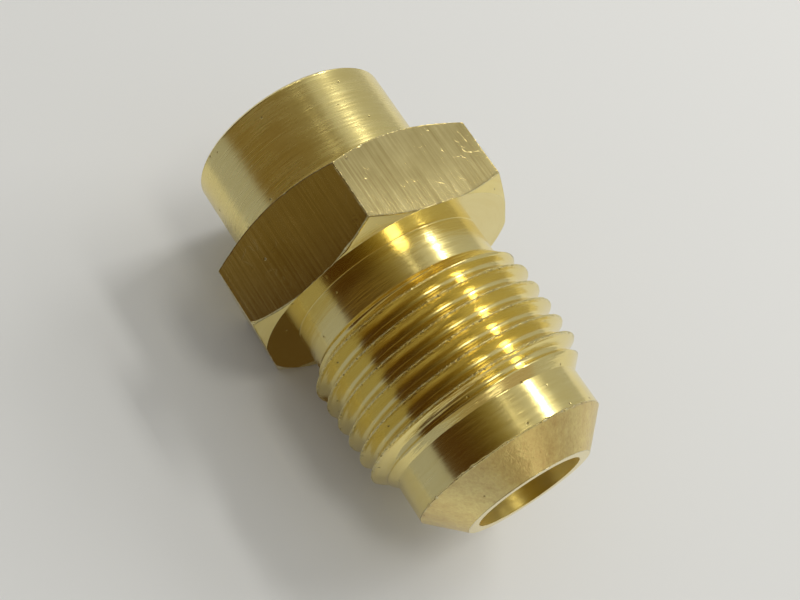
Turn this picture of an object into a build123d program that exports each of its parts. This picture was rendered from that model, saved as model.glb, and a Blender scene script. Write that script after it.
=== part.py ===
from build123d import *
import math
import os

os.makedirs("parts", exist_ok=True)

# Straight 45 degree flare fitting, male flare thread to solder cup, for 1/2 inch tube.
# The real thing is turned and drilled from one length of hexagon brass bar, so it is
# one solid with nothing assembled to it. Units are millimetres.
# +X runs along the bore from the solder cup to the flare nose, +Z is up, and the
# origin is the centre of the cup's mouth. The fitting lies on one flat of its hexagon.

# Hexagon bar
across_flats = 22.0
hex_chamfer_angle = 30.0        # between the chamfer and the hexagon's end faces
rear_face_diameter = 21.6       # where the rear chamfer meets the end face
front_face_diameter = 22.4      # where the front chamfer meets the end face

# Solder end
barrel_diameter = 17.0
barrel_length = 8.4
rim_chamfer = 0.2
cup_diameter = 12.8             # takes a 12.7 mm tube with room for solder
cup_depth = 9.5
cup_mouth_chamfer = 0.3

# Body stations along the axis
hex_length = 7.0
neck_length = 3.15
thread_length = 8.2             # full crests, between the two thread chamfers
nose_length = 3.2               # plain cylinder ahead of the flare cone

# Diameters ahead of the hexagon
neck_diameter = 16.5
nose_diameter = 16.1
tip_diameter = 10.9             # flat ring at the end of the flare cone
bore_diameter = 9.0

# 3/4-16 UNF external thread
threads_per_inch = 16
thread_major_diameter = 19.0
thread_minor_diameter = 17.1
flank_angle = 30.0              # each flank from the normal to the axis
crest_at = 23.9                 # axial place of a crest on the +Y side
cutter_overshoot = 0.1          # how far the groove cutter stands above the crests

# Values that follow from the driving dimensions
pitch = 25.4 / threads_per_inch
hex_start = barrel_length
hex_end = hex_start + hex_length
neck_end = hex_end + neck_length
crest_start = neck_end + (thread_major_diameter - neck_diameter) / 2
crest_end = crest_start + thread_length
nose_start = crest_end + (thread_major_diameter - nose_diameter) / 2
nose_end = nose_start + nose_length
tip = nose_end + (nose_diameter - tip_diameter) / 2


def lathe(points):
    """Solid of revolution about X from (axial place, diameter) corners."""
    corners = [(place, diameter / 2) for place, diameter in points]
    outline = Polyline(*corners, close=True)
    return revolve(make_face(outline), Axis.X)


def turned_outside():
    """Everything the lathe leaves outside, apart from the hexagon."""
    return lathe([
        (0, 0),
        (0, barrel_diameter - 2 * rim_chamfer),
        (rim_chamfer, barrel_diameter),
        (hex_start + hex_length / 2, barrel_diameter),
        (hex_start + hex_length / 2, neck_diameter),
        (neck_end, neck_diameter),
        (crest_start, thread_major_diameter),
        (crest_end, thread_major_diameter),
        (nose_start, nose_diameter),
        (nose_end, nose_diameter),
        (tip, tip_diameter),
        (tip, 0),
    ])


def hexagon():
    """Hexagon bar with its corners turned off at both ends."""
    bar = extrude(
        Plane.YZ.offset(hex_start) * RegularPolygon(across_flats / 2, 6, major_radius=False),
        hex_length,
    )
    past_corners = across_flats / math.cos(math.radians(30)) + 1
    slope = math.tan(math.radians(hex_chamfer_angle)) / 2
    turned = lathe([
        (hex_start, 0),
        (hex_start, rear_face_diameter),
        (hex_start + (past_corners - rear_face_diameter) * slope, past_corners),
        (hex_end - (past_corners - front_face_diameter) * slope, past_corners),
        (hex_end, front_face_diameter),
        (hex_end, 0),
    ])
    return bar & turned


def waterway():
    """Solder cup and through bore, as the solid that is drilled away."""
    return lathe([
        (-1, 0),
        (-1, cup_diameter + 2 * cup_mouth_chamfer),
        (0, cup_diameter + 2 * cup_mouth_chamfer),
        (cup_mouth_chamfer, cup_diameter),
        (cup_depth, cup_diameter),
        (cup_depth, bore_diameter),
        (tip + 1, bore_diameter),
        (tip + 1, 0),
    ])


def thread_groove():
    """Helical V groove, run past both ends of the crests and trimmed to their diameter."""
    crest_half_gap = 7 / 16 * pitch
    crest_radius = thread_major_diameter / 2
    root_radius = thread_minor_diameter / 2
    outer_radius = crest_radius + cutter_overshoot
    flank = math.tan(math.radians(flank_angle))
    root_half = crest_half_gap - (crest_radius - root_radius) * flank
    outer_half = crest_half_gap + cutter_overshoot * flank
    groove_centre = crest_at + pitch / 2
    turns_before = math.ceil((groove_centre - neck_end) / pitch) + 1
    turns_after = math.ceil((nose_start - groove_centre) / pitch) + 1
    start = groove_centre - turns_before * pitch
    height = (turns_before + turns_after) * pitch
    section = [
        (root_radius, start - root_half),
        (outer_radius, start - outer_half),
        (outer_radius, start + outer_half),
        (root_radius, start + root_half),
    ]
    edges = [Helix(pitch, height, radius, center=(0, 0, place)).edge() for radius, place in section]
    faces = [Face.make_surface_from_curves(edges[i], edges[i - 1]) for i in range(4)]
    for rise in (0, height):
        corners = [(radius, 0, place + rise) for radius, place in section]
        faces.append(make_face(Polyline(*corners, close=True)).face())
    groove = Plane.YZ.location * Solid(Shell(faces))
    blank = lathe([
        (hex_end, 0),
        (hex_end, thread_major_diameter),
        (nose_end, thread_major_diameter),
        (nose_end, 0),
    ])
    return blank & groove


def fitting():
    """The whole fitting: turned and hexagon stock, less waterway and thread groove."""
    stock = turned_outside() + hexagon()
    return stock - waterway() - thread_groove()


body = fitting().solid()
body.label = "fitting_body"
export_step(body, "parts/fitting_body.step")
print("length", round(tip, 3), "volume", round(body.volume, 1), "valid", body.is_valid)
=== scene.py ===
import bmesh
import bpy
import math
import numpy as np
from mathutils import Matrix, Vector


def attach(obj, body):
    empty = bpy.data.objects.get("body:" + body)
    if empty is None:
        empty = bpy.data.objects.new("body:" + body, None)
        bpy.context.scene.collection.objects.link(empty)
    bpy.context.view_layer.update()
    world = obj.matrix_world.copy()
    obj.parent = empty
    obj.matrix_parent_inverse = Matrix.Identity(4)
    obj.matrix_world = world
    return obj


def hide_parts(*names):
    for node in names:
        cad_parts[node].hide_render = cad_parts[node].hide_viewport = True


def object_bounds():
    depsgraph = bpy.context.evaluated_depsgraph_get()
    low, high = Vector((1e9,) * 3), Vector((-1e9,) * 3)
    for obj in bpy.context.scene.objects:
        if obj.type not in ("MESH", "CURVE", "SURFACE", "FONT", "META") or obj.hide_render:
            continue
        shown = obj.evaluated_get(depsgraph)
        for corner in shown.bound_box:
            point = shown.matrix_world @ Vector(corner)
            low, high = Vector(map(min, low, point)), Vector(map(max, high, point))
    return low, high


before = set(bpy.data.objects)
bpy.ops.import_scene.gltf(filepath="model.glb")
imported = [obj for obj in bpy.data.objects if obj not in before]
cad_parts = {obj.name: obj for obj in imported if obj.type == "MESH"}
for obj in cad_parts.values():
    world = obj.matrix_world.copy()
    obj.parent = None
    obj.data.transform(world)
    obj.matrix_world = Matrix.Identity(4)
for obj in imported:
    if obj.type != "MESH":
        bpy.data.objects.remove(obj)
cad_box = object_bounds()

# The visual model of the flare fitting stands for the one CAD node. Its sizes are those of
# the CAD part, in millimetres, and its mesh is built in metres in the row frame: +X from
# the solder cup to the nose, angles measured from +Y towards +Z.
MM = 0.001

# Body stations along the axis and the radii between them
BARREL_RADIUS = 8.5
HEX_START = 8.4
HEX_END = 15.4
NECK_END = 18.55
NECK_RADIUS = 8.25
NOSE_RADIUS = 8.05
NOSE_LENGTH = 3.2
TIP_RADIUS = 5.45
BORE_RADIUS = 4.5
CUP_RADIUS = 6.4
CUP_DEPTH = 9.5
CUP_MOUTH_CHAMFER = 0.3
RIM_CHAMFER = 0.2

# Hexagon
FLAT_DISTANCE = 11.0
REAR_FACE_RADIUS = 10.8
FRONT_FACE_RADIUS = 11.2
CHAMFER_SLOPE = math.tan(math.radians(30))
CORNER_ROUND = 0.10

# Thread, 3/4-16 UNF, its crests worn a little narrower than the cutter left them
PITCH = 25.4 / 16
CREST_RADIUS = 9.5
ROOT_ROUND = 0.32
CREST_AT = 23.9
CREST_LENGTH = 8.2
CREST_HALF = 0.05
FLANK_RISE = 1 / math.tan(math.radians(30))

CREST_START = NECK_END + CREST_RADIUS - NECK_RADIUS
CREST_END = CREST_START + CREST_LENGTH
NOSE_START = CREST_END + CREST_RADIUS - NOSE_RADIUS
NOSE_END = NOSE_START + NOSE_LENGTH
TIP = NOSE_END + NOSE_RADIUS - TIP_RADIUS

# Material slots of the visual mesh
BARREL, TURNED, FLAT, FACED, THREAD, CONE, BORE = range(7)


# Mesh ---------------------------------------------------------------------------------

def column_angles():
    """Angles of the mesh's columns, closer together beside each corner of the hexagon."""
    near = [0.0, 0.22, 0.5, 0.95]
    middle = list(np.linspace(1.8, 58.2, 41))
    sector = near + middle + [60 - a for a in reversed(near[1:])]
    turns = [60 * k + a for k in range(6) for a in sector]
    return np.radians(np.array(turns + [360.0]))


def hexagon_radius(angle):
    """Distance from the axis to the hexagon's side, with its corners slightly rounded."""
    from_flat = angle % math.radians(60) - math.radians(30)
    side = FLAT_DISTANCE / np.cos(from_flat)
    from_corner = math.radians(30) - np.abs(from_flat)
    centre = (FLAT_DISTANCE - CORNER_ROUND) / math.cos(math.radians(30))
    inside = CORNER_ROUND ** 2 - (centre * np.sin(from_corner)) ** 2
    rounded = centre * np.cos(from_corner) + np.sqrt(np.maximum(inside, 0))
    return np.where(inside > 0, np.minimum(side, rounded), side)


def bumps(angle, seed, count, width, depth):
    """Sum of small rounded dents at random angles round a circle."""
    rng = np.random.default_rng(seed)
    total = np.zeros_like(angle)
    for _ in range(count):
        centre = rng.uniform(0, 2 * math.pi)
        spread = math.radians(width) * rng.uniform(0.4, 1.6)
        size = depth * rng.uniform(0.2, 1.0) ** 2
        gap = (angle - centre + math.pi) % (2 * math.pi) - math.pi
        total += size * np.exp(-(gap / spread) ** 2)
    return total


class Outline:
    """A closed outline turned round the axis, whose points may differ from angle to angle."""

    def __init__(self, angle):
        self.angle = angle
        self.rows = []
        self.wear = []
        self.slots = []
        self.knots = []

    def knot(self, place, radius, bend=0.0, slot=TURNED, parts=1, worn=0.0):
        """A corner, the radius it is rounded to, the slot and rows of what follows, and its wear."""
        ones = np.ones_like(self.angle)
        corner = np.stack([place * ones, radius * ones])
        self.knots.append((corner, bend * ones, slot, parts, worn * ones))

    def flush(self, before, after):
        """Turns the knots into rows. before and after are the points on each side of them."""
        points = [before] + [k[0] for k in self.knots] + [after]
        for i, (corner, bend, slot, parts, worn) in enumerate(self.knots):
            arc = self.rounded(points[i], corner, points[i + 2], bend)
            for point, share in zip(arc, (0.5, 1.0, 1.0, 0.5)):
                self.add(point, worn * share, slot)
            if i + 1 < len(self.knots):
                following = self.knots[i + 1]
                arrival = self.rounded(corner, following[0], points[i + 3], following[1])[0]
                self.spread(arc[-1], arrival, parts, slot)
        self.knots = []

    def rounded(self, before, corner, after, bend):
        """Four points of the arc that rounds a corner, or the corner itself where it is sharp."""
        back = before - corner
        ahead = after - corner
        back_length = np.maximum(np.hypot(*back), 1e-9)
        ahead_length = np.maximum(np.hypot(*ahead), 1e-9)
        back = back / back_length
        ahead = ahead / ahead_length
        cosine = np.clip((back * ahead).sum(0), -1, 1)
        half = np.arccos(cosine) / 2
        cut = bend / np.maximum(np.tan(half), 1e-3)
        cut = np.minimum(cut, 0.42 * np.minimum(back_length, ahead_length))
        start = corner + back * cut
        finish = corner + ahead * cut
        steps = (0.0, 1 / 3, 2 / 3, 1.0)
        return [(1 - t) ** 2 * start + 2 * t * (1 - t) * corner + t ** 2 * finish for t in steps]

    def spread(self, start, finish, parts, slot):
        """Rows between two rounded corners, with one close to each end to hold the flat shape."""
        length = np.maximum(np.hypot(*(finish - start)), 1e-9)
        hold = np.minimum(0.06 / length, 0.2)
        shares = [hold] + [np.full_like(hold, i / parts) for i in range(1, parts)] + [1 - hold]
        for share in shares:
            self.add(start + (finish - start) * share, 0 * share, slot)

    def wear_corners(self):
        """Marks the six long edges of the hexagon as worn."""
        from_corner = (self.angle + math.radians(30)) % math.radians(60) - math.radians(30)
        edge = 0.5 * np.exp(-(from_corner / math.radians(0.35)) ** 2)
        for i, slot in enumerate(self.slots):
            if slot == FLAT:
                self.wear[i] = np.maximum(self.wear[i], edge)

    def add(self, point, wear, slot):
        self.rows.append(point)
        self.wear.append(wear)
        self.slots.append(slot)


def envelope(place):
    """Radius of the thread's blank at a place: neck chamfer, crests, nose chamfer."""
    rear = NECK_RADIUS + (place - NECK_END)
    front = NOSE_RADIUS + (NOSE_START - place)
    return np.minimum(np.minimum(rear, front), CREST_RADIUS)


def groove_radius(from_crest):
    """Radius of the thread form at a distance from the middle of a crest, its root rounded."""
    flank = CREST_RADIUS - (np.abs(from_crest) - CREST_HALF) * FLANK_RISE
    from_root = np.minimum(PITCH / 2 - np.abs(from_crest), ROOT_ROUND * math.cos(math.radians(30)))
    apex = CREST_RADIUS - (PITCH / 2 - CREST_HALF) * FLANK_RISE
    root = apex + 2 * ROOT_ROUND - np.sqrt(ROOT_ROUND ** 2 - from_root ** 2)
    return np.maximum(flank, root)


def along_helix(place, angle):
    """Distance from the middle of the nearest crest, and the angle travelled along the helix."""
    lead = PITCH * angle / (2 * math.pi)
    from_crest = (place - lead - CREST_AT + PITCH / 2) % PITCH - PITCH / 2
    travel = (place - CREST_AT - from_crest) / PITCH * 2 * math.pi
    return from_crest, travel


def thread_rows(angle):
    """Rows of the thread, each one following the helix and stopped at the two chamfers."""
    half = [0.03, 0.05, 0.08, 0.18, 0.32, 0.45, 0.52, 0.58, 0.64, 0.70, 0.75]
    steps = [0.0] + half + [PITCH / 2] + [PITCH - s for s in reversed(half)]
    first = CREST_AT - PITCH * math.ceil((CREST_AT - NECK_END) / PITCH + 1)
    turns = math.ceil((NOSE_START - first) / PITCH)
    lead = PITCH * angle / (2 * math.pi)
    rows = []
    for turn in range(turns + 1):
        for step in steps:
            nominal = first + turn * PITCH + step + lead
            place = np.clip(nominal, NECK_END, NOSE_START)
            from_crest, _ = along_helix(place, angle)
            radius = np.minimum(groove_radius(from_crest), envelope(place))
            rows.append(np.stack([place, radius]))
    return rows


def add_thread(line):
    """Adds the thread to the outline, with its crests' edges worn, chipped and burred."""
    rng = np.random.default_rng(11)
    table_angle = np.arange(-4, 80, 0.04)
    nicks = np.clip(rng.uniform(0, 1, (2, len(table_angle))) - 0.72, 0, 1) / 0.28
    lifts = np.clip(rng.uniform(0, 1, (2, len(table_angle))) - 0.6, 0, 1) / 0.4
    for place, radius in thread_rows(line.angle):
        from_crest, travel = along_helix(place, line.angle)
        travel = travel + 60
        top = np.clip((radius - CREST_RADIUS + 0.3) / 0.25, 0, 1)
        edge = np.exp(-((np.abs(from_crest) - CREST_HALF) / 0.045) ** 2) * top
        side = from_crest > 0
        nick, lift = (
            np.where(side, np.interp(travel, table_angle, table[1]), np.interp(travel, table_angle, table[0]))
            for table in (nicks, lifts))
        line.add(np.stack([place, radius + edge * (0.015 * lift - 0.06 * nick)]), edge, THREAD)


def build_outline(angle):
    """All rows of the fitting's outline, from the rear rim outside to the tip and back inside."""
    line = Outline(angle)
    side = hexagon_radius(angle)
    rear_chamfer = np.maximum(side - REAR_FACE_RADIUS, 0) * CHAMFER_SLOPE
    front_chamfer = np.maximum(side - FRONT_FACE_RADIUS, 0) * CHAMFER_SLOPE
    hex_wear = 0.04 + bumps(angle, 3, 46, 1.1, 0.12)
    front_wear = 0.04 + bumps(angle, 4, 60, 1.0, 0.14)
    cone_wear = 0.05 + bumps(angle, 5, 90, 1.2, 0.20)

    rim_inner = CUP_RADIUS + CUP_MOUTH_CHAMFER
    rim_wear = 0.06 + bumps(angle, 2, 30, 1.2, 0.1)
    line.knot(0, rim_inner, 0.05, FACED, 3, 0.4)
    line.knot(0, BARREL_RADIUS - RIM_CHAMFER, 0.04, FACED, 1, 0.4)
    line.knot(RIM_CHAMFER, BARREL_RADIUS, rim_wear, BARREL, 5, 0.5)
    line.knot(HEX_START, BARREL_RADIUS, 0.12, FACED, 3)
    line.knot(HEX_START, np.minimum(REAR_FACE_RADIUS, side), 0.03, FACED, 2, 0.3)
    line.knot(HEX_START + rear_chamfer, side, hex_wear, FLAT, 5, 0.8)
    line.knot(HEX_END - front_chamfer, side, front_wear, FACED, 2, 1)
    line.knot(HEX_END, np.minimum(FRONT_FACE_RADIUS, side), 0.03, FACED, 3, 0.2)
    line.knot(HEX_END, NECK_RADIUS, 0.06, TURNED, 3)
    line.knot(NECK_END, NECK_RADIUS, 0.0, THREAD, 1)
    ones = np.ones_like(angle)
    rear_inside = np.stack([CUP_MOUTH_CHAMFER * ones, CUP_RADIUS * ones])
    line.flush(rear_inside, np.stack([CREST_START * ones, CREST_RADIUS * ones]))

    add_thread(line)

    line.knot(NOSE_START, NOSE_RADIUS, 0.0, TURNED, 3)
    line.knot(NOSE_END, NOSE_RADIUS, cone_wear, CONE, 4, 1)
    line.knot(TIP, TIP_RADIUS, 0.08, FACED, 2, 0.5)
    line.knot(TIP, BORE_RADIUS, 0.05, BORE, 6, 0.3)
    line.knot(CUP_DEPTH, BORE_RADIUS, 0.05, FACED, 3)
    line.knot(CUP_DEPTH, CUP_RADIUS, 0.1, BORE, 4)
    line.knot(CUP_MOUTH_CHAMFER, CUP_RADIUS, 0.04, FACED, 1)
    line.flush(np.stack([CREST_END * ones, CREST_RADIUS * ones]), np.stack([0 * ones, rim_inner * ones]))
    line.wear_corners()
    return line


def fitting_mesh():
    """One closed mesh of the fitting, from the rows and columns of its outline."""
    angle = column_angles()
    line = build_outline(angle)
    grid = np.array(line.rows)
    place = grid[:, 0] * MM
    radius = grid[:, 1] * MM
    points = np.stack([place, radius * np.cos(angle), radius * np.sin(angle)], -1)
    rows, columns = points.shape[:2]
    row = np.arange(rows)[:, None]
    column = np.arange(columns - 1)[None, :]
    after = (row + 1) % rows
    here = row * columns + column
    there = after * columns + column
    faces = np.stack([here, there, there + 1, here + 1], -1).reshape(-1, 4)
    slots = np.repeat(np.array(line.slots), columns - 1)
    mesh = bpy.data.meshes.new("flare_fitting")
    mesh.from_pydata(points.reshape(-1, 3).tolist(), [], faces.tolist())
    mesh.polygons.foreach_set("material_index", slots.astype(np.int32))
    wear = mesh.attributes.new("wear", "FLOAT", "POINT")
    wear.data.foreach_set("value", np.array(line.wear).astype(np.float32).ravel())
    return weld(mesh)


def weld(mesh):
    """Joins points that lie together, and drops the faces that this leaves without an area."""
    work = bmesh.new()
    work.from_mesh(mesh)
    bmesh.ops.remove_doubles(work, verts=work.verts, dist=0.0004 * MM)
    bmesh.ops.dissolve_degenerate(work, edges=work.edges, dist=0.0004 * MM)
    bmesh.ops.recalc_face_normals(work, faces=work.faces)
    for face in work.faces:
        face.smooth = True
    work.to_mesh(mesh)
    work.free()
    return mesh


# Materials ----------------------------------------------------------------------------

class Nodes:
    """Short ways to add and join shader nodes in one material."""

    def __init__(self, name, shader="ShaderNodeBsdfPrincipled"):
        self.material = bpy.data.materials.new(name)
        self.material.use_nodes = True
        self.tree = self.material.node_tree
        self.tree.nodes.clear()
        self.shader = self.tree.nodes.new(shader)
        out = self.tree.nodes.new("ShaderNodeOutputMaterial")
        self.tree.links.new(self.shader.outputs[0], out.inputs["Surface"])

    def add(self, kind, **settings):
        node = self.tree.nodes.new(kind)
        for key, value in settings.items():
            setattr(node, key, value)
        return node

    def put(self, value, socket):
        if isinstance(value, bpy.types.NodeSocket):
            self.tree.links.new(value, socket)
        else:
            socket.default_value = value

    def math(self, operation, first, second=0.0, third=0.0):
        node = self.add("ShaderNodeMath", operation=operation)
        for value, socket in zip((first, second, third), node.inputs):
            self.put(value, socket)
        return node.outputs[0]

    def vector(self, x, y, z):
        node = self.add("ShaderNodeCombineXYZ")
        for value, socket in zip((x, y, z), node.inputs):
            self.put(value, socket)
        return node.outputs[0]

    def noise(self, vector, detail=2.0, rough=0.5, fourth=None):
        node = self.add("ShaderNodeTexNoise", noise_dimensions="3D" if fourth is None else "4D")
        self.put(vector, node.inputs["Vector"])
        if fourth is not None:
            self.put(fourth, node.inputs["W"])
        node.inputs["Scale"].default_value = 1.0
        node.inputs["Detail"].default_value = detail
        node.inputs["Roughness"].default_value = rough
        return node.outputs["Fac"]

    def fit(self, value, low, high, to_low, to_high):
        node = self.add("ShaderNodeMapRange")
        sockets = ("Value", "From Min", "From Max", "To Min", "To Max")
        for name, item in zip(sockets, (value, low, high, to_low, to_high)):
            self.put(item, node.inputs[name])
        return node.outputs["Result"]

    def ramp(self, value, stops):
        """Colours at angles in degrees, blended between them, at an angle in radians."""
        start = stops[0][0]
        finish = stops[-1][0]
        node = self.add("ShaderNodeValToRGB")
        elements = node.color_ramp.elements
        for _ in stops[2:]:
            elements.new(0.5)
        for element, (angle, colour) in zip(elements, stops):
            element.position = (angle - start) / (finish - start)
            element.color = (*colour, 1)
        share = self.fit(value, math.radians(start), math.radians(finish), 0.0, 1.0)
        self.put(share, node.inputs["Fac"])
        return node.outputs["Color"]

    def blend(self, share, first, second):
        node = self.add("ShaderNodeMix", data_type="RGBA")
        self.put(share, node.inputs["Factor"])
        self.put(first, node.inputs["A"])
        self.put(second, node.inputs["B"])
        return node.outputs["Result"]


def scaled(n, vector, scale):
    node = n.add("ShaderNodeVectorMath", operation="SCALE")
    n.put(vector, node.inputs[0])
    node.inputs["Scale"].default_value = scale
    return node.outputs[0]


def pits(n, place, per_metre, size):
    """Small round pits at random places, 1 in a pit and 0 elsewhere."""
    cells = n.add("ShaderNodeTexVoronoi", feature="F1")
    n.put(place, cells.inputs["Vector"])
    cells.inputs["Scale"].default_value = per_metre
    return n.fit(cells.outputs["Distance"], size, 0.5 * size, 0.0, 1.0)


# Heights of the bumps that the finishes share, in metres
PIT_DEPTH = 25e-6
WEAR_DEPTH = 130e-6
SCRATCH_DEPTH = 5e-6
# Colours of the bright and the dark parts of a worn edge
RUBBED = (0.97, 0.88, 0.52)
GRIME = (0.16, 0.10, 0.03)


def brass(name, marks, roughness, anisotropy, turn, relief, pale, deep, scratched=0.0):
    """Brass with tool marks, pits and worn edges, and scratches where scratched is above 0.

    marks gives fine and broad marks, from 0 to 1. relief is the height of the marks in metres.
    """
    n = Nodes(name)
    place = n.add("ShaderNodeTexCoord").outputs["Object"]
    split = n.add("ShaderNodeSeparateXYZ")
    n.put(place, split.inputs[0])
    x, y, z = split.outputs
    across = n.math("SQRT", n.math("ADD", n.math("MULTIPLY", y, y), n.math("MULTIPLY", z, z)))
    round_y = n.math("DIVIDE", y, across)
    round_z = n.math("DIVIDE", z, across)

    fine, broad = marks(n, x, y, z, across, round_y, round_z)
    cloud = n.noise(scaled(n, place, 260.0), 5.0, 0.62)
    pit = pits(n, place, 620.0, 0.075)
    worn = n.add("ShaderNodeAttribute", attribute_name="wear").outputs["Fac"]
    grit = n.noise(scaled(n, place, 3600.0), 2.0, 0.6)
    bright = n.math("MULTIPLY", worn, n.fit(grit, 0.51, 0.58, 0.0, 1.0))
    dark = n.math("MULTIPLY", worn, n.fit(grit, 0.40, 0.34, 0.0, 1.0))
    dark = n.math("MAXIMUM", dark, n.math("MULTIPLY", pit, 0.7))

    lined = n.math("MULTIPLY", n.math("ADD", fine, broad), 0.33)
    tone = n.math("ADD", lined, n.math("MULTIPLY", cloud, 0.34))
    colour = n.blend(n.fit(tone, 0.36, 0.64, 0.0, 1.0), (*deep, 1), (*pale, 1))
    colour = n.blend(n.math("MULTIPLY", bright, 0.8), colour, (*RUBBED, 1))
    n.put(n.blend(n.math("MULTIPLY", dark, 0.85), colour, (*GRIME, 1)),
          n.shader.inputs["Base Color"])

    uneven = n.math("ADD", n.math("MULTIPLY", cloud, 0.5), n.math("MULTIPLY", fine, 0.7))
    level = n.math("MULTIPLY", n.math("ADD", uneven, 0.4), roughness)
    n.put(n.math("ADD", level, n.math("MULTIPLY", dark, 0.2)), n.shader.inputs["Roughness"])

    height = n.math("ADD", fine, n.math("MULTIPLY", broad, 1.6))
    height = n.math("SUBTRACT", height, n.math("MULTIPLY", pit, PIT_DEPTH / relief))
    height = n.math("ADD", height, n.math("MULTIPLY", n.math("MULTIPLY", worn, grit), WEAR_DEPTH / relief))
    if scratched:
        path = n.noise(scaled(n, place, 700.0), 1.5, 0.5)
        patch = n.fit(n.noise(scaled(n, place, 420.0), 1.0, 0.5), 0.55, 0.63, 0.0, scratched)
        line = n.fit(n.math("ABSOLUTE", n.math("SUBTRACT", path, 0.5)), 0.008, 0.002, 0.0, 1.0)
        scratch = n.math("MULTIPLY", line, patch)
        height = n.math("SUBTRACT", height, n.math("MULTIPLY", scratch, SCRATCH_DEPTH / relief))
    bump = n.add("ShaderNodeBump")
    bump.inputs["Strength"].default_value = 1.0
    bump.inputs["Distance"].default_value = relief
    n.put(height, bump.inputs["Height"])
    n.put(bump.outputs[0], n.shader.inputs["Normal"])

    n.shader.inputs["Metallic"].default_value = 1.0
    n.shader.inputs["Anisotropic"].default_value = anisotropy
    n.shader.inputs["Anisotropic Rotation"].default_value = turn
    tangent = n.add("ShaderNodeTangent", direction_type="RADIAL", axis="X")
    n.put(tangent.outputs[0], n.shader.inputs["Tangent"])
    return n.material


def turning_marks(n, x, y, z, across, round_y, round_z):
    """Rings round the axis, close together along it and changing slowly round it."""
    def rings(per_metre, per_turn, detail):
        vector = n.vector(n.math("MULTIPLY", x, per_metre), n.math("MULTIPLY", round_y, per_turn),
                          n.math("MULTIPLY", round_z, per_turn))
        return n.noise(vector, detail, 0.6, n.math("MULTIPLY", across, per_metre))
    return rings(5200.0, 2.5, 2.0), rings(1800.0, 2.0, 3.0)


def thread_marks(n, x, y, z, across, round_y, round_z):
    """Lines along the helix: the same distances from a crest repeat at every pitch."""
    turn = n.math("MULTIPLY", n.math("ARCTAN2", z, y), PITCH * MM / (2 * math.pi))
    advance = n.math("SUBTRACT", x, turn)
    phase = n.math("WRAP", advance, PITCH * MM, 0.0)

    def lines(per_metre, per_turn, detail):
        vector = n.vector(n.math("MULTIPLY", phase, per_metre), n.math("MULTIPLY", round_y, per_turn),
                          n.math("MULTIPLY", round_z, per_turn))
        return n.noise(vector, detail, 0.6, n.math("MULTIPLY", x, 900.0))
    return lines(4600.0, 3.0, 2.0), lines(2000.0, 2.0, 2.0)


def drawing_marks(n, x, y, z, across, round_y, round_z):
    """Lines along the bar, close together across the flats."""
    def lines(per_metre, along, detail):
        vector = n.vector(n.math("MULTIPLY", x, along), n.math("MULTIPLY", y, per_metre),
                          n.math("MULTIPLY", z, per_metre))
        return n.noise(vector, detail, 0.6)
    return lines(8000.0, 170.0, 2.0), lines(4200.0, 80.0, 2.0)


def scoured_marks(n, x, y, z, across, round_y, round_z):
    """Short fine lines down the flare cone."""
    def lines(per_metre, along, detail):
        vector = n.vector(n.math("MULTIPLY", x, along), n.math("MULTIPLY", y, per_metre),
                          n.math("MULTIPLY", z, per_metre))
        return n.noise(vector, detail, 0.65)
    return lines(5200.0, 1500.0, 2.0), lines(1500.0, 700.0, 4.0)


# Colours of the brass, each finish going from a pale one to a deep one
PALE = (0.90, 0.77, 0.33)
DEEP = (0.84, 0.69, 0.26)
PALE_SKIN = (0.72, 0.61, 0.29)
DEEP_SKIN = (0.53, 0.42, 0.16)
DEEP_CONE = (0.68, 0.49, 0.20)
PALE_BORE = (0.92, 0.75, 0.25)
DEEP_BORE = (0.88, 0.69, 0.19)


def fitting_materials():
    """One brass finish for each way that the bar was worked, in slot order."""
    micron = 0.001 * MM
    # Name, marks, roughness, anisotropy and its turn, relief, pale and deep colours, scratches
    return [
        brass("brass_barrel", turning_marks, 0.26, 0.35, 0.25, 10 * micron, PALE, DEEP),
        brass("brass_turned", turning_marks, 0.23, 0.55, 0.25, 20 * micron, PALE, DEEP),
        brass("brass_drawn_flat", drawing_marks, 0.19, 0.4, 0.0, 5 * micron, PALE_SKIN, DEEP_SKIN, 0.6),
        brass("brass_faced", turning_marks, 0.14, 0.4, 0.25, 2 * micron, PALE, DEEP),
        brass("brass_thread", thread_marks, 0.21, 0.5, 0.25, 32 * micron, PALE, DEEP),
        brass("brass_cone", scoured_marks, 0.34, 0.3, 0.25, 20 * micron, PALE, DEEP_CONE, 1.0),
        brass("brass_bore", turning_marks, 0.44, 0.8, 0.25, 14 * micron, PALE_BORE, DEEP_BORE),
    ]


def build_fitting():
    """The visual fitting, which stands for the CAD body."""
    mesh = fitting_mesh()
    for material in fitting_materials():
        mesh.materials.append(material)
    piece = bpy.data.objects.new("flare_fitting", mesh)
    bpy.context.scene.collection.objects.link(piece)
    shading = piece.modifiers.new("even_shading", "WEIGHTED_NORMAL")
    shading.keep_sharp = True
    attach(piece, "root")
    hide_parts("fitting_body")
    return piece


# Studio -------------------------------------------------------------------------------

FLOOR_SIZE = 4.0
FLOOR_COLOUR = (0.74, 0.74, 0.73)
SKY_COLOUR = (1.0, 1.0, 0.98)
SKY_STRENGTH = 0.46
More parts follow.
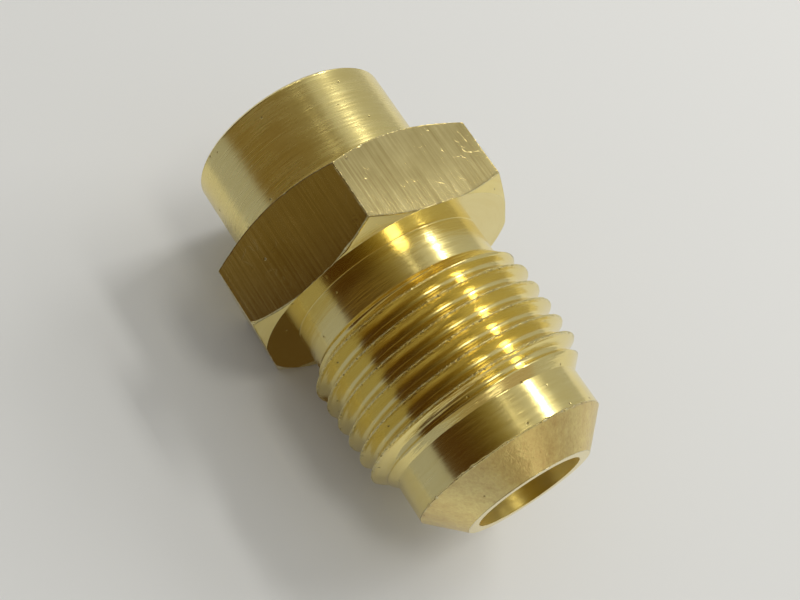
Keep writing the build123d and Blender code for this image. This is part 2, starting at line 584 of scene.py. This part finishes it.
# The flag on the camera's side: angles about the axis, its distance from the axis at each,
# and its colours seen from the nose's end and from the cup's end
FLAG_ANGLES = (80, 95, 111, 127, 143, 160, 186)
FLAG_RADII = (0.45, 0.45, 0.45, 0.42, 0.30, 0.16, 0.10)
FLAG_NOSE_COLOURS = (
    (0.43, 0.42, 0.38), (0.40, 0.38, 0.32), (0.25, 0.21, 0.09), (0.12, 0.085, 0.024),
    (0.070, 0.040, 0.009), (0.062, 0.030, 0.008), (0.072, 0.038, 0.012),
)
FLAG_CUP_COLOURS = (
    (0.20, 0.17, 0.10), (0.17, 0.135, 0.065), (0.17, 0.125, 0.05), (0.18, 0.128, 0.044),
    (0.19, 0.135, 0.045), (0.20, 0.145, 0.048), (0.19, 0.135, 0.044),
)
# How far the flag reaches along the axis, as a share of its distance from the axis
FLAG_REAR = -0.75
FLAG_FRONT = 1.1
# The cup's colours turn into the nose's between these two slopes away from the place
FLAG_TURN_PLACE = 0.012
FLAG_TURN_SLOPES = (-0.40, -0.29)

# Cards beyond the nose: name, colour, strength, then place along the axis, left, right, low, high
UPRIGHT_CARDS = (
    ("tan_wall", (0.31, 0.26, 0.16), 1.0, 0.5, -0.35, 0.03, 0.0, 0.45),
    ("peach_wall", (0.43, 0.36, 0.27), 1.0, 0.5, 0.03, 0.40, 0.0, 0.45),
    ("window", (1.0, 0.96, 0.85), 2.5, 0.45, 0.03, 0.10, 0.09, 0.17),
)
# Cards on the floor: name, colour, then rear, front, near and far edges
LOW_CARDS = (
    ("low_grey", (0.36, 0.37, 0.41), -0.15, 0.20, -0.20, -0.017),
    # Painted shadow: the dark brown card under the neck stands in for the fitting's own shadow on the floor
    # beneath it, seen only in the brass's reflections.
    ("low_brown", (0.08, 0.05, 0.015), 0.0157, 0.0215, -0.007, 0.012),
)
LOW_CARD_HEIGHT = 0.0003
# Strip lights: name, angle about the axis, distance, width, length, middle along the axis,
# colour, watts. The side fill lights the floor and shows in no reflection.
STRIP_LIGHTS = (
    ("key_strip", 60.7, 0.40, 0.03, 0.115, -0.052, (1.0, 0.99, 0.95), 0.232),
    ("key_glow", 50.0, 0.41, 0.08, 0.19, 0.005, (1.0, 0.99, 0.90), 0.02),
    ("neck_strip", 95.0, 0.40, 0.03, 0.05, -0.110, (1.0, 0.97, 0.80), 0.009),
    ("bore_strip", 60.7, 0.40, 0.03, 0.09, 0.055, (1.0, 0.99, 0.95), 0.07),
    ("side_fill", 36.0, 0.40, 0.2, 0.3, 0.02, (1.0, 0.99, 0.97), 0.5),
    ("second_strip", 93.0, 0.40, 0.09, 0.14, 0.13, (1.0, 0.97, 0.86), 0.22),
)


def floor():
    """Plain pale floor under the lowest point of the fitting."""
    height = cad_box[0][2]
    half = FLOOR_SIZE / 2
    corners = [(-half, -half, height), (half, -half, height), (half, half, height), (-half, half, height)]
    mesh = bpy.data.meshes.new("floor")
    mesh.from_pydata(corners, [], [(0, 1, 2, 3)])
    ground = bpy.data.objects.new("floor", mesh)
    bpy.context.scene.collection.objects.link(ground)
    n = Nodes("floor_paint")
    n.shader.inputs["Base Color"].default_value = (*FLOOR_COLOUR, 1)
    n.shader.inputs["Roughness"].default_value = 0.9
    n.shader.inputs["Specular IOR Level"].default_value = 0.1
    mesh.materials.append(n.material)


def reflected_only(name, points, faces, material):
    """A card that lights the brass as a reflection, and neither shades nor lights the floor."""
    mesh = bpy.data.meshes.new(name)
    mesh.from_pydata(points, [], faces)
    mesh.materials.append(material)
    piece = bpy.data.objects.new(name, mesh)
    bpy.context.scene.collection.objects.link(piece)
    piece.visible_camera = False
    piece.visible_diffuse = False
    piece.visible_shadow = False


def flag_material():
    """Glow of the flag, by the angle about the fitting's axis and the distance along it."""
    n = Nodes("flag_glow", "ShaderNodeEmission")
    split = n.add("ShaderNodeSeparateXYZ")
    n.put(n.add("ShaderNodeTexCoord").outputs["Object"], split.inputs[0])
    x, y, z = split.outputs
    angle = n.math("WRAP", n.math("ARCTAN2", z, y), 2 * math.pi, 0.0)
    reach = n.math("SQRT", n.math("ADD", n.math("MULTIPLY", y, y), n.math("MULTIPLY", z, z)))
    slope = n.math("DIVIDE", n.math("SUBTRACT", x, FLAG_TURN_PLACE), reach)
    share = n.fit(slope, *FLAG_TURN_SLOPES, 0.0, 1.0)
    nose = n.ramp(angle, tuple(zip(FLAG_ANGLES, FLAG_NOSE_COLOURS)))
    cup = n.ramp(angle, tuple(zip(FLAG_ANGLES, FLAG_CUP_COLOURS)))
    n.put(n.blend(share, cup, nose), n.shader.inputs["Color"])
    return n.material


def flag():
    """A card curved about the fitting's axis, between the camera's side and the floor."""
    points = []
    faces = []
    for i, degrees in enumerate(np.linspace(FLAG_ANGLES[0], FLAG_ANGLES[-1], 49)):
        radius = float(np.interp(degrees, FLAG_ANGLES, FLAG_RADII))
        angle = math.radians(degrees)
        for end in (FLAG_REAR * radius, FLAG_FRONT * radius):
            points.append((end, radius * math.cos(angle), radius * math.sin(angle)))
        if i:
            faces.append((2 * i - 2, 2 * i - 1, 2 * i + 1, 2 * i))
    reflected_only("flag", points, faces, flag_material())


def glowing(name, colour, strength):
    n = Nodes(name, "ShaderNodeEmission")
    n.shader.inputs["Color"].default_value = (*colour, 1)
    n.shader.inputs["Strength"].default_value = strength
    return n.material


def upright_card(name, material, place, left, right, low, high):
    """A card across the axis beyond the nose."""
    corners = [(place, left, low), (place, right, low), (place, right, high), (place, left, high)]
    reflected_only(name, corners, [(0, 1, 2, 3)], material)


def low_card(name, material, rear, front, near, far):
    """A card on the floor, as the brass sees it; the dark brown one under the neck is a painted shadow."""
    level = cad_box[0][2] + LOW_CARD_HEIGHT
    corners = [(rear, near, level), (front, near, level), (front, far, level), (rear, far, level)]
    reflected_only(name, corners, [(0, 1, 2, 3)], material)


def strip_light(name, angle, radius, width, length, middle, colour, watts):
    """A long soft light parallel to the fitting's axis, at an angle about it, facing the axis."""
    data = bpy.data.lights.new(name, "AREA")
    data.shape = "RECTANGLE"
    data.size = length
    data.size_y = width
    data.color = colour
    data.energy = watts
    lamp = bpy.data.objects.new(name, data)
    bpy.context.scene.collection.objects.link(lamp)
    turn = math.radians(angle)
    outward = Vector((0, math.cos(turn), math.sin(turn)))
    along = Vector((1, 0, 0))
    lamp.matrix_world = Matrix.Translation(outward * radius + along * middle) @ Matrix((
        along, outward.cross(along), outward)).transposed().to_4x4()
    lamp.visible_camera = False
    return lamp


def studio():
    world = bpy.data.worlds.new("studio")
    bpy.context.scene.world = world
    world.use_nodes = True
    background = world.node_tree.nodes["Background"]
    background.inputs["Color"].default_value = (*SKY_COLOUR, 1)
    background.inputs["Strength"].default_value = SKY_STRENGTH
    floor()
    flag()
    for name, colour, strength, *edges in UPRIGHT_CARDS:
        upright_card(name, glowing(name + "_glow", colour, strength), *edges)
    for name, colour, *edges in LOW_CARDS:
        low_card(name, glowing(name + "_glow", colour, 1.0), *edges)
    for name, *settings in STRIP_LIGHTS:
        lamp = strip_light(name, *settings)
        lamp.visible_glossy = name != "side_fill"


# Camera -------------------------------------------------------------------------------

CAMERA_AT = Vector((50.0, -62.5, 83.7)) * MM
CAMERA_AIM = Vector((17.06, -0.12, 0.12)) * MM
CAMERA_ROLL = 34.05
CAMERA_LENS = 62.4


def camera():
    data = bpy.data.cameras.new("camera")
    data.lens = CAMERA_LENS
    data.sensor_width = 36.0
    data.clip_start = 0.005
    view = bpy.data.objects.new("camera", data)
    bpy.context.scene.collection.objects.link(view)
    level = (CAMERA_AIM - CAMERA_AT).to_track_quat("-Z", "Y").to_matrix().to_4x4()
    view.matrix_world = Matrix.Translation(CAMERA_AT) @ level @ Matrix.Rotation(
        math.radians(CAMERA_ROLL), 4, "Z")
    bpy.context.scene.camera = view


camera()
studio()
build_fitting()
bpy.context.scene.view_settings.view_transform = "Standard"
